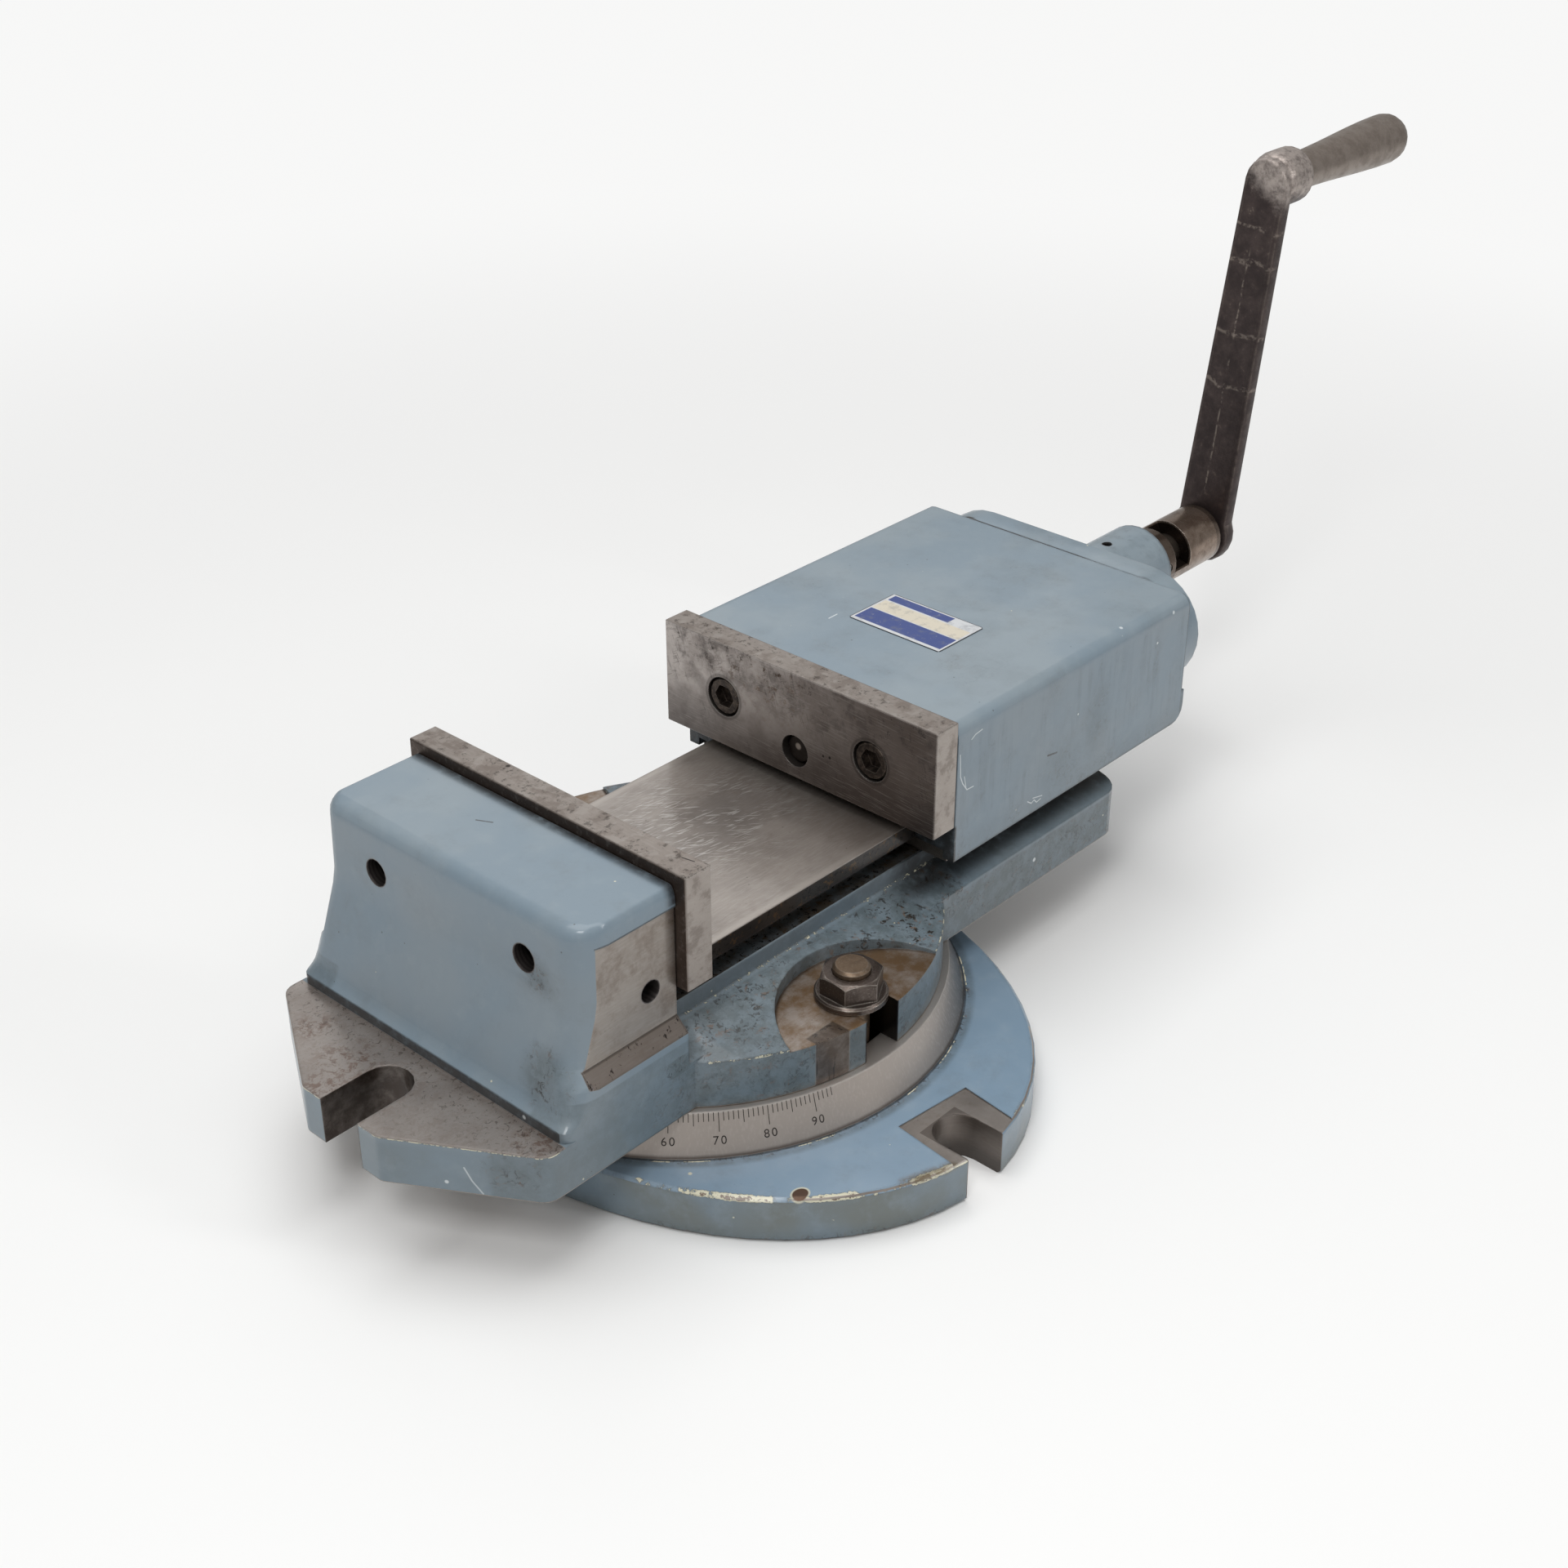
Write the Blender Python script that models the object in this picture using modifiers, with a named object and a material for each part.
"""Swivel machine vise: slotted swivel base, cast vise body on a graduated ring,
sliding moving jaw with its lead screw, claw coupling and crank handle.

Metres, +Z up. +X runs along the lead screw towards the crank, and the origin is
the swivel centre on the underside of the base.
"""
import bpy
import bmesh
from math import acos, asin, cos, pi, radians, sin, sqrt, tan
from mathutils import Matrix, Vector

# Clearances
FIT = 0.0003                 # between a piece and what it seats on or turns in
SLIDE_FIT = 0.0003           # between the moving jaw and the bed
THREAD_FIT = 0.0003          # between a drawn thread and its hole, on the radius

# Swivel base
BASE_RADIUS_X = 0.124        # half of the short axis of the oval base plate
BASE_RADIUS_Y = 0.167        # half of the long axis, through the bolt slots
BASE_THICKNESS = 0.022
BASE_EDGE = 0.0015
RING_TOP_Z = 0.040
RING_TOP_RADIUS = 0.1144
RING_FOOT_RADIUS = 0.1218
BASE_SLOT_WIDTH = 0.022
BASE_SLOT_INNER_Y = 0.1415   # innermost point of the rounded slot end
BASE_PAD_HALF_WIDTH = 0.0193
BASE_PAD_INNER_Y = 0.135
BASE_PAD_DEPTH = 0.0008
NEAR_PAD_SHIFT = 0.0045      # the near pad was milled off centre and out of square
NEAR_PAD_TURN = radians(-6.3)
KEYWAY_WIDTH = 0.014
KEYWAY_DEPTH = 0.004
KEYWAY_LENGTH = 0.030
T_SLOT_RADIUS = 0.094        # pitch circle of the annular T-slot
T_SLOT_WIDTH = 0.0175
T_SLOT_HEAD_WIDTH = 0.030
T_SLOT_LIP = 0.011
T_SLOT_HEAD_HEIGHT = 0.014
BOLT_ENTRY = 0.029           # square window under the T-slot for putting the bolts in
PIVOT_RADIUS = 0.0200
PIVOT_FLOOR_Z = 0.012
PIVOT_TOP_Z = 0.056
PIVOT_CHAMFER = 0.0015

# Vise body
BODY_HALF_WIDTH = 0.080
BODY_BOTTOM_Z = RING_TOP_Z + FIT
SLAB_EDGE_Z = 0.0635         # top of the body's side wall
SLAB_CREST_Z = 0.069         # where the sloping top meets the shoulder
SHOULDER_STEP = 0.002        # how far the shoulder stands out from the bed's side
SHOULDER_Z = 0.076
BED_SHARE = 0.725            # width of the bed over the width of the body
LIP_REACH = 0.010            # how far the bed's lips overhang the neck
BED_TOP_Z = 0.092
BED_LIP = 0.008
BODY_REAR_X = 0.2105
BODY_REAR_CORNER = 0.009
WING_RADIUS = 0.1115
WING_RIM_Z = 0.0622
WING_PAD_Z = 0.061
WING_PAD_RADIUS = 0.0485     # sweep of the cutter that faced the nut seat
WING_PAD_CENTRE_Y = 0.117
WING_SLOT_WIDTH = 0.0195
POCKET_FRONT_X = 0.122
POCKET_SIDE_WALL = 0.020
POCKET_WALL = 0.012
POCKET_RIB = 0.007
POCKET_ROOF_Z = 0.062
POCKET_CORNER = 0.004

# Front lug
LUG_Z = 0.062
LUG_STEP_X = -0.1468
LUG_TIP_X = -0.190
LUG_TIP_HALF_WIDTH = 0.0225
LUG_SHOULDER_X = -0.1555
LUG_TIP_CORNER = 0.006
LUG_SHOULDER_CORNER = 0.008
LUG_SLOT_WIDTH = 0.0225
LUG_SLOT_INNER_X = -0.156

# Fixed jaw: pairs of height and measure, taken at the levels of its sections
FIXED_JAW_BACK_X = -0.0806   # machined face that carries the jaw plate
FIXED_JAW_TOP_Z = 0.1445
FIXED_JAW_TOP_EDGE = 0.007   # height of the rounding round the top, and its inset at the front
FIXED_JAW_SIDE_EDGE = 0.003  # inset of that rounding at the sides
FRONT_X = ((0.0665, -0.1470), (0.0683, -0.1448), (0.0710, -0.1428), (0.0745, -0.1416), (0.0795, -0.1400),
           (0.0860, -0.1378), (0.1050, -0.1315), (0.1120, -0.1302), (0.1375, -0.1296))
NEAR_SIDE_INSET = ((0.0795, 0.0000), (0.0860, 0.0050))
FAR_SIDE_INSET = ((0.0745, 0.0000), (0.0860, 0.0010), (0.1120, 0.0023), (0.1375, 0.0030))
NEAR_CORNER = ((0.0665, 0.006), (0.0710, 0.009), (0.0745, 0.011), (0.0860, 0.014))
FAR_CORNER = ((0.0665, 0.006), (0.0745, 0.009))
SIDE_FACE_STEP = 0.006       # depth of the two faces machined on the jaw's sides
SIDE_FACE_LOW_Z = 0.085
SIDE_FACE_HIGH_Z = 0.1354
SIDE_HOLE_X = -0.0943
SIDE_HOLE_Z = 0.103
SIDE_HOLE_RADIUS = 0.0048
SIDE_HOLE_DEPTH = 0.014

# Jaw plates and their screws
PLATE_THICKNESS = 0.0141
PLATE_BOTTOM_Z = 0.0975
PLATE_HEIGHT = 0.052
PLATE_EDGE = 0.0005
JAW_OPENING = 0.1353         # between the two plates as drawn
PLATE_SCREW_Y = 0.0435
PLATE_SCREW_Z = 0.1225
PLATE_SCREW_HEAD_RADIUS = 0.009
PLATE_SCREW_HEAD_HEIGHT = 0.008
PLATE_SCREW_SHANK_RADIUS = 0.0057
PLATE_SCREW_LENGTH = 0.026
MOVING_PLATE_SCREW_LENGTH = 0.024
PLATE_HEAD_RECESS = 0.0006   # how far a seated head lies below the plate's face
PLATE_SOCKET_FLATS = 0.010
PLATE_SOCKET_DEPTH = 0.0045
CENTRE_HOLE_RADIUS = 0.0077

# Lead screw and its nut
SCREW_Z = 0.111
SCREW_PITCH = 0.005
THREAD_RADIUS = 0.012
FRONT_JOURNAL_RADIUS = 0.0068
FRONT_JOURNAL_SETBACK = 0.003
NUT_LENGTH = 0.0235
NUT_SEAT_DEPTH = 0.001       # how far the nut block is let into the bed
NUT_HUB_RADIUS = 0.019
NUT_SLIDEWAY_GAP = 0.0025    # between the nut block and the slideways beside it
NUT_FLANGE_HEIGHT = 0.010
NUT_KEY_LENGTH = 0.011
NUT_KEY_HALF_WIDTH = 0.020
NUT_KEY_DEPTH = 0.005
NUT_BOLT_EDGE = 0.0095       # from the end of the nut block to the bolt's axis
NUT_BOLT_RADIUS = 0.0040
NUT_BOLT_HEAD_RADIUS = 0.0065
NUT_BOLT_HEAD_HEIGHT = 0.0080
NUT_BOLT_LENGTH = 0.024
NUT_BOLT_SOCKET_FLATS = 0.006
NUT_BOLT_SOCKET_DEPTH = 0.004

# Moving jaw
MOVING_JAW_LENGTH = 0.1740
MOVING_JAW_TOP_Z = 0.1465
MOVING_JAW_EDGE = 0.006
SKIRT_BOTTOM_Z = 0.080
SKIRT_WALL = 0.006
FRONT_WALL = 0.0095
BOX_WALL = 0.018
CAVITY_TOP_Z = 0.136
CAVITY_CORNER = 0.006
SLIDEWAY_SHARE = 0.767       # inner edge of the two slideways over the width of the bed
SLIDEWAY_HEIGHT = 0.0115
WALL_BOSS_RADIUS = 0.0095
PLATE_BOSS_REACH = 0.021     # how far the bosses of the plate screws reach behind the jaw's front
REAR_SKIRT_CORNER = 0.008
HEEL_REACH = 0.002           # how far the foot of each side stands out behind the jaw
HEEL_TOP_Z = 0.096
OPENING_TRAVEL = SCREW_PITCH # how much further than drawn the jaw can open

# Keeper strips under the moving jaw
KEEPER_FRONT_SETBACK = 0.003
KEEPER_LENGTH = 0.164
KEEPER_NECK_GAP = 0.0015
KEEPER_BOTTOM_GAP = 0.0005
KEEPER_SCREW_COUNT = 3
KEEPER_SCREW_END = 0.020
KEEPER_SCREW_RADIUS = 0.0027
KEEPER_SCREW_HEAD_RADIUS = 0.0055
KEEPER_SCREW_HEAD_HEIGHT = 0.0030
KEEPER_SCREW_LENGTH = 0.014
KEEPER_SOCKET_FLATS = 0.004
KEEPER_SOCKET_DEPTH = 0.002

# Screw housing on the back of the moving jaw
FLANGE_THICKNESS = 0.0155
FLANGE_SIDE_STEP = 0.0025    # how far the flange's ends lie in from the jaw's sides
FLANGE_CENTRE_Z = 0.1175
FLANGE_END_RADIUS = 0.029
FLANGE_BED_GAP = 0.001       # under the flat bottom of the flange and its boss
FLANGE_EDGE = 0.0018
BOSS_RADIUS = 0.0218
BOSS_LENGTH = 0.061
BOSS_ROOT = 0.0035
BOSS_EDGE = 0.0015
OIL_HOLE_FROM_FLANGE = 0.031
OIL_HOLE_RADIUS = 0.0024
HOUSING_SCREW_OUT = 0.006    # from the centre of the flange's end towards the side
HOUSING_SCREW_RISE = 0.013
HOUSING_SCREW_RADIUS = 0.0040
HOUSING_SCREW_HEAD_RADIUS = 0.0065
HOUSING_SCREW_HEAD_HEIGHT = 0.0080
HOUSING_SCREW_LENGTH = 0.022
HOUSING_SOCKET_FLATS = 0.006
HOUSING_SOCKET_DEPTH = 0.004
COLLAR_RADIUS = 0.0145
COLLAR_THICKNESS = 0.006
THRUST_WASHER_THICKNESS = 0.002
RETAINER_THICKNESS = 0.0055
RETAINER_SPANNER_RADIUS = 0.0007
BEARING_CHAMBER_RADIUS = 0.0155
BUSH_WALL = 0.003
BUSH_RECESS = 0.003
REAR_JOURNAL_RADIUS = 0.010

# Claw coupling and crank
COUPLING_RADIUS = 0.0160
COUPLING_RING = 0.0115       # length of the plain ring behind the claws
CLAW_LENGTH = 0.0135
CLAW_SPAN = radians(24)
CLAW_PLAY = radians(1.6)
CLAW_START = radians(14)
COUPLING_PIN_RADIUS = 0.0025
STEM_RADIUS = 0.0088
STEM_REACH = 0.050           # stem of the screw beyond the housing
SLEEVE_RADIUS = 0.0157
SLEEVE_LENGTH = 0.0430
SLEEVE_CHAMFER = 0.0012
SLEEVE_NECK_RADIUS = 0.0135
SLEEVE_NECK_LENGTH = 0.0018
SLEEVE_SPIGOT_RADIUS = 0.0100
ARM_THICKNESS = 0.0090
ARM_FOOT_RADIUS = 0.0172
ARM_FOOT_WAIST = 0.0150       # half width that the tapered arm comes in with at its foot
ARM_HEAD_RADIUS = 0.0120
ARM_LENGTH = 0.1905
ARM_LEAN = radians(5.1)      # how far the arm stands from upright, towards -Y
ARM_EDGE = 0.0026
KNUCKLE_RADIUS = 0.0138
KNUCKLE_LENGTH = 0.0265
KNUCKLE_DOME = 0.0105
KNUCKLE_LIP = 0.0030
GRIP_LENGTH = 0.1005
GRIP_NECK_RADIUS = 0.0093
GRIP_HEAD_RADIUS = 0.0128
GRIP_PIN_RADIUS = 0.0050
GRIP_PIN_REACH = 0.078
GRIP_PIN_SEAT = 0.018

# T-bolts and collar nuts
CLAMP_RADIUS = 0.008
T_HEAD_WIDTH = 0.025
T_HEAD_HEIGHT = 0.010
CLAMP_STUD_ABOVE_PAD = 0.0155
CLAMP_COLLAR_RADIUS = 0.0155
CLAMP_COLLAR_HEIGHT = 0.003
CLAMP_NUT_HEIGHT = 0.0120
CLAMP_NUT_FLATS = 0.024

# Fineness of round shapes and of point places, and size of the empties
POINT_DIGITS = 7
BIG_STEPS = 64
ROUND_STEPS = 28
SMALL_STEPS = 14
ARC_STEPS = 4
EMPTY_SIZE = 0.03

# Places that follow from the sizes above
PLATE_WIDTH = 2 * BODY_HALF_WIDTH
BED_HALF_WIDTH = BED_SHARE * BODY_HALF_WIDTH
SHOULDER_HALF_WIDTH = BED_HALF_WIDTH + SHOULDER_STEP
NECK_HALF_WIDTH = BED_HALF_WIDTH - LIP_REACH
POCKET_HALF_WIDTH = BODY_HALF_WIDTH - POCKET_SIDE_WALL
SIDE_FACE_Y = BODY_HALF_WIDTH - SIDE_FACE_STEP
CAVITY_HALF_WIDTH = BODY_HALF_WIDTH - BOX_WALL
SKIRT_INNER_Y = BODY_HALF_WIDTH - SKIRT_WALL
SLIDEWAY_HALF_WIDTH = SLIDEWAY_SHARE * BED_HALF_WIDTH
PLATE_CENTRE_Z = PLATE_BOTTOM_Z + PLATE_HEIGHT / 2
FIXED_PLATE_BACK_X = FIXED_JAW_BACK_X + FIT
FIXED_PLATE_FACE_X = FIXED_PLATE_BACK_X + PLATE_THICKNESS
MOVING_PLATE_FACE_X = FIXED_PLATE_FACE_X + JAW_OPENING
MOVING_PLATE_BACK_X = MOVING_PLATE_FACE_X + PLATE_THICKNESS
MOVING_JAW_FRONT_X = MOVING_PLATE_BACK_X + FIT
MOVING_JAW_REAR_X = MOVING_JAW_FRONT_X + MOVING_JAW_LENGTH
CAVITY_FRONT_X = MOVING_JAW_FRONT_X + FRONT_WALL
NUT_FRONT_X = CAVITY_FRONT_X + OPENING_TRAVEL + FIT
NUT_REAR_X = NUT_FRONT_X + NUT_LENGTH
NUT_MIDDLE_X = (NUT_FRONT_X + NUT_REAR_X) / 2
NUT_SEAT_Z = BED_TOP_Z - NUT_SEAT_DEPTH
NUT_BOTTOM_Z = NUT_SEAT_Z + FIT
NUT_FLANGE_TOP_Z = NUT_BOTTOM_Z + NUT_FLANGE_HEIGHT
NUT_FLANGE_HALF_WIDTH = SLIDEWAY_HALF_WIDTH - NUT_SLIDEWAY_GAP
NUT_BOLT_Y = NUT_FLANGE_HALF_WIDTH - NUT_BOLT_EDGE
SLIDE_Z = BED_TOP_Z + SLIDE_FIT
LIP_UNDER_Z = BED_TOP_Z - BED_LIP
KEEPER_SEAT_Z = LIP_UNDER_Z
KEEPER_TOP_Z = KEEPER_SEAT_Z - FIT
KEEPER_BOTTOM_Z = SHOULDER_Z + KEEPER_BOTTOM_GAP
KEEPER_INNER_Y = NECK_HALF_WIDTH + KEEPER_NECK_GAP
KEEPER_OUTER_Y = SKIRT_INNER_Y - FIT
KEEPER_SCREW_Y = (BED_HALF_WIDTH + SLIDE_FIT + SKIRT_INNER_Y) / 2
FLANGE_FRONT_X = MOVING_JAW_REAR_X + FIT
FLANGE_REAR_X = FLANGE_FRONT_X + FLANGE_THICKNESS
FLANGE_CENTRE_Y = BODY_HALF_WIDTH - FLANGE_SIDE_STEP - FLANGE_END_RADIUS
FLANGE_BOTTOM_Z = BED_TOP_Z + FLANGE_BED_GAP
HOUSING_SCREW_Y = FLANGE_CENTRE_Y + HOUSING_SCREW_OUT
BOSS_END_X = FLANGE_REAR_X + BOSS_LENGTH
RETAINER_FRONT_X = FLANGE_FRONT_X + FIT
FRONT_WASHER_X = RETAINER_FRONT_X + RETAINER_THICKNESS + FIT
COLLAR_FRONT_X = FRONT_WASHER_X + THRUST_WASHER_THICKNESS + FIT
REAR_WASHER_X = COLLAR_FRONT_X + COLLAR_THICKNESS + FIT
CHAMBER_END_X = REAR_WASHER_X + THRUST_WASHER_THICKNESS + FIT
COUPLING_X = BOSS_END_X + FIT
CLAW_ROOT_X = COUPLING_X + COUPLING_RING
CLAW_TIP_X = CLAW_ROOT_X + CLAW_LENGTH
SLEEVE_X = CLAW_ROOT_X + FIT
SLEEVE_END_X = SLEEVE_X + SLEEVE_LENGTH
ARM_FRONT_X = SLEEVE_END_X + SLEEVE_NECK_LENGTH
GRIP_Y = -ARM_LENGTH * sin(ARM_LEAN)
GRIP_Z = SCREW_Z + ARM_LENGTH * cos(ARM_LEAN)
KNUCKLE_END_X = ARM_FRONT_X + KNUCKLE_LENGTH
GRIP_X = KNUCKLE_END_X + FIT
T_SLOT_LIP_Z = RING_TOP_Z - T_SLOT_LIP
T_SLOT_FLOOR_Z = T_SLOT_LIP_Z - T_SLOT_HEAD_HEIGHT
STUD_TOP_Z = WING_PAD_Z + CLAMP_STUD_ABOVE_PAD

PAINT = (0.165, 0.235, 0.290)
PAINT_ROUGHNESS = 0.42


# Scene and collections
for leftover in list(bpy.data.objects):
    bpy.data.objects.remove(leftover, do_unlink=True)
parts = bpy.data.collections.new("swivel_machine_vise")
cutters = bpy.data.collections.new("cutters")
bpy.context.scene.collection.children.link(parts)
bpy.context.scene.collection.children.link(cutters)


def make_material(name, colour, roughness, metallic):
    material = bpy.data.materials.new(name)
    material.use_nodes = True
    shader = material.node_tree.nodes["Principled BSDF"]
    shader.inputs["Base Color"].default_value = (*colour, 1.0)
    shader.inputs["Roughness"].default_value = roughness
    shader.inputs["Metallic"].default_value = metallic
    return material


# Shapes
def place_mesh(name, mesh, collection=parts):
    obj = bpy.data.objects.new(name, mesh)
    collection.objects.link(obj)
    if collection is cutters:
        obj.hide_render = True
        obj.display_type = "WIRE"
    return obj


def mesh_from(bm, name):
    """The mesh of a bmesh, its points rounded so that faces meant to be level with each other are exactly so."""
    for vert in bm.verts:
        vert.co = [round(value, POINT_DIGITS) for value in vert.co]
    mesh = bpy.data.meshes.new(name)
    bm.to_mesh(mesh)
    bm.free()
    return mesh


def box(name, low, high, collection=parts):
    """A box between two corners."""
    low = Vector(low)
    high = Vector(high)
    bm = bmesh.new()
    bmesh.ops.create_cube(bm, size=1.0)
    bmesh.ops.scale(bm, vec=high - low, verts=bm.verts)
    bmesh.ops.translate(bm, vec=(high + low) / 2, verts=bm.verts)
    return place_mesh(name, mesh_from(bm, name), collection)


AXIS_TURN = {
    "X": Matrix.Rotation(pi / 2, 4, "Y"),
    "-X": Matrix.Rotation(-pi / 2, 4, "Y"),
    "Y": Matrix.Rotation(-pi / 2, 4, "X"),
    "-Y": Matrix.Rotation(pi / 2, 4, "X"),
    "Z": Matrix.Identity(4),
    "-Z": Matrix.Rotation(pi, 4, "X"),
}


def cylinder(name, radius, start, length, axis="Z", steps=ROUND_STEPS, collection=parts, end_radius=None):
    """A cylinder or cone from its start point along an axis."""
    bm = bmesh.new()
    bmesh.ops.create_cone(bm, cap_ends=True, segments=steps, radius1=radius,
                          radius2=radius if end_radius is None else end_radius, depth=length)
    bmesh.ops.translate(bm, vec=(0, 0, length / 2), verts=bm.verts)
    bmesh.ops.transform(bm, matrix=Matrix.Translation(start) @ AXIS_TURN[axis], verts=bm.verts)
    return place_mesh(name, mesh_from(bm, name), collection)


def turned(name, profile, start=(0, 0, 0), axis="Z", steps=ROUND_STEPS, collection=parts, ring=False):
    """A turned solid. The profile is (radius, height) pairs down its outer side; a ring closes on itself."""
    mesh = bpy.data.meshes.new(name)
    points = [(radius, 0, height) for radius, height in profile]
    edges = [(i, i + 1) for i in range(len(points) - 1)]
    if ring:
        edges.append((len(points) - 1, 0))
    mesh.from_pydata(points, edges, [])
    obj = place_mesh(name, mesh, collection)
    obj.matrix_world = Matrix.Translation(start) @ AXIS_TURN[axis]
    screw = obj.modifiers.new("turn", "SCREW")
    screw.steps = steps
    screw.render_steps = steps
    screw.use_merge_vertices = True
    screw.merge_threshold = 0.00001
    screw.use_normal_calculate = False
    return obj


PLANES = {
    "XY": Matrix.Identity(3),
    "YZ": Matrix(((0, 0, 1), (1, 0, 0), (0, 1, 0))),
    "XZ": Matrix(((1, 0, 0), (0, 0, -1), (0, 1, 0))),
}


def prism(name, outline, plane, low, high, collection=parts):
    """A flat outline given thickness: low and high are measured along the axis the plane lacks."""
    curve = bpy.data.curves.new(name, "CURVE")
    curve.dimensions = "2D"
    curve.fill_mode = "NONE"
    curve.extrude = (high - low) / 2
    spline = curve.splines.new("POLY")
    spline.points.add(len(outline) - 1)
    for point, (u, v) in zip(spline.points, outline):
        point.co = (u, v, 0, 1)
    spline.use_cyclic_u = True
    drawn = bpy.data.objects.new(name + "_curve", curve)
    cutters.objects.link(drawn)
    turn = PLANES[plane]
    lacking_axis = Vector([abs(value) for value in turn.col[2]])
    drawn.matrix_world = Matrix.Translation(lacking_axis * (high + low) / 2) @ turn.to_4x4()
    return mesh_of_curve(name, drawn, collection)


def mesh_of_curve(name, drawn, collection):
    """Turns a drawn outline into a closed mesh, each end one flat face."""
    bpy.context.view_layer.update()
    depsgraph = bpy.context.evaluated_depsgraph_get()
    mesh = bpy.data.meshes.new_from_object(drawn.evaluated_get(depsgraph))
    bm = bmesh.new()
    bm.from_mesh(mesh)
    bmesh.ops.remove_doubles(bm, verts=bm.verts, dist=0.000001)
    bmesh.ops.holes_fill(bm, edges=bm.edges, sides=0)
    bmesh.ops.recalc_face_normals(bm, faces=bm.faces)
    bmesh.ops.transform(bm, matrix=drawn.matrix_world, verts=bm.verts)
    bpy.data.objects.remove(drawn, do_unlink=True)
    bpy.data.meshes.remove(mesh)
    return place_mesh(name, mesh_from(bm, name), collection)


def loft(name, sections, collection=parts):
    """A solid through closed sections that have the same number of points."""
    bm = bmesh.new()
    rings = [[bm.verts.new(point) for point in section] for section in sections]
    count = len(sections[0])
    for lower, upper in zip(rings, rings[1:]):
        for i in range(count):
            j = (i + 1) % count
            bm.faces.new((lower[i], lower[j], upper[j], upper[i]))
    sides = list(bm.faces)
    bm.faces.new(list(reversed(rings[0])))
    bm.faces.new(rings[-1])
    bmesh.ops.recalc_face_normals(bm, faces=bm.faces)
    bmesh.ops.triangulate(bm, faces=sides)
    return place_mesh(name, mesh_from(bm, name), collection)


# Outlines
def arc(centre, radius, start, end, steps=ARC_STEPS):
    return [(centre[0] + radius * cos(start + (end - start) * i / steps),
             centre[1] + radius * sin(start + (end - start) * i / steps)) for i in range(steps + 1)]


def rounded_corner(before, corner, after, radius, steps=ARC_STEPS):
    """Points of an arc that rounds the corner between two straight runs."""
    corner = Vector(corner)
    to_before = (Vector(before) - corner).normalized()
    to_after = (Vector(after) - corner).normalized()
    half = acos(max(-1.0, min(1.0, to_before.dot(to_after)))) / 2
    start = corner + to_before * (radius / tan(half))
    centre = corner + (to_before + to_after).normalized() * (radius / sin(half))
    sweep = pi - 2 * half
    turn = 1 if to_before.cross(to_after) < 0 else -1
    spoke = start - centre
    points = []
    for i in range(steps + 1):
        angle = turn * sweep * i / steps
        points.append((centre.x + spoke.x * cos(angle) - spoke.y * sin(angle),
                       centre.y + spoke.x * sin(angle) + spoke.y * cos(angle)))
    return points


def slot_outline(width, mouth, inner, steps=8):
    """A slot along -X: open at the mouth, with a round inner end that reaches the inner value."""
    half = width / 2
    centre = inner - half
    return [(mouth, -half)] + arc((centre, 0), half, -pi / 2, pi / 2, steps) + [(mouth, half)]


def sector_outline(start, end, radius, steps=8):
    return [(0, 0)] + arc((0, 0), radius, start, end, steps)


def mirrored(points):
    """The points followed by their mirror images across the second axis."""
    return list(points) + [(-u, v) for u, v in reversed(points)]


# Modifiers
def combine(obj, tool, operation):
    modifier = obj.modifiers.new(operation.lower() + "_" + tool.name, "BOOLEAN")
    modifier.operation = operation
    modifier.object = tool
    modifier.solver = "EXACT"
    if tool.name not in cutters.objects:
        for holder in tool.users_collection:
            holder.objects.unlink(tool)
        cutters.objects.link(tool)
    tool.hide_render = True
    tool.display_type = "WIRE"


def cut(obj, *tools):
    for tool in tools:
        combine(obj, tool, "DIFFERENCE")


def join(obj, *tools):
    for tool in tools:
        combine(obj, tool, "UNION")


def bevel(obj, width, segments=2, angle=radians(40)):
    modifier = obj.modifiers.new("edges", "BEVEL")
    modifier.width = width
    modifier.segments = segments
    modifier.limit_method = "ANGLE"
    modifier.angle_limit = angle
    modifier.use_clamp_overlap = True
    return modifier


def finish_piece(obj, material, pivot, smooth=None):
    """Gives a piece its material, its shading and the empty that it moves with."""
    obj.data.materials.clear()
    obj.data.materials.append(material)
    if smooth is not None and obj.data.polygons:
        obj.data.shade_smooth()
        obj.data.set_sharp_from_angle(angle=smooth)
    placed = obj.matrix_world.copy()
    obj.parent = pivot
    obj.matrix_parent_inverse = pivot.matrix_world.inverted()
    obj.matrix_world = placed
    return obj


def make_pivot(name, location, parent=None):
    pivot = bpy.data.objects.new(name, None)
    pivot.empty_display_size = EMPTY_SIZE
    parts.objects.link(pivot)
    pivot.matrix_world = Matrix.Translation(location)
    if parent is not None:
        pivot.parent = parent
        pivot.matrix_parent_inverse = parent.matrix_world.inverted()
        pivot.matrix_world = Matrix.Translation(location)
    bpy.context.view_layer.update()
    return pivot


# Fasteners
def screw_profile(head_radius, head_height, shank_radius, length, chamfer=0.0007):
    """Outer side of a cap screw: the head's underside is at height 0 and the shank runs down."""
    return [(0, head_height), (head_radius - chamfer, head_height), (head_radius, head_height - chamfer),
            (head_radius, 0), (shank_radius, 0), (shank_radius, -length), (0, -length)]


def socket_tool(name, flats, depth, place, axis):
    """The hexagon socket in a head: place is the middle of the head's top and axis points outwards."""
    corner_radius = flats / sqrt(3)
    start = Vector(place) + (AXIS_TURN[axis] @ Vector((0, 0, -depth)))
    return cylinder(name, corner_radius, start, depth + 0.002, axis, 6, cutters)


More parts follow.
